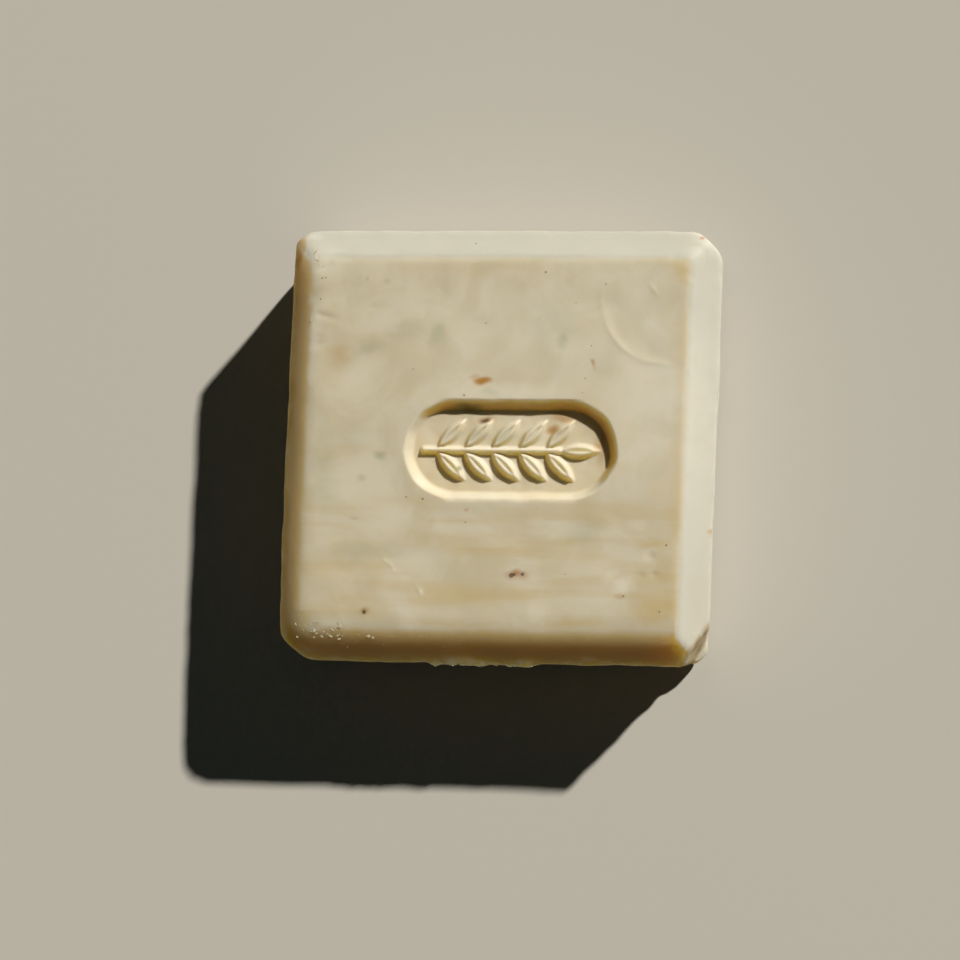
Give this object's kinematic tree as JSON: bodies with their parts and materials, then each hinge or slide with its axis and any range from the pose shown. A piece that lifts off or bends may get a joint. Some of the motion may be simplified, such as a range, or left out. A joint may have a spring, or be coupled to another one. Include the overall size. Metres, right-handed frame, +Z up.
{
  "type": "bar of soap",
  "caption": "Square bar of handmade soap with planed, softened edges and a shallow long-oval stamp that holds a raised leaf sprig.",
  "frame": {"origin": "middle of the underside, on the surface that the bar lies on", "axes": "+Z up through the stamped face, +Y towards the back of the bar, +X to the right along the stamp"},
  "size_m": [0.072, 0.071, 0.025],
  "materials": {
    "soap": "matte, slightly waxy"
  },
  "bodies": {
    "root": {"soap_bar": "soap"}
  },
  "joints": []
}
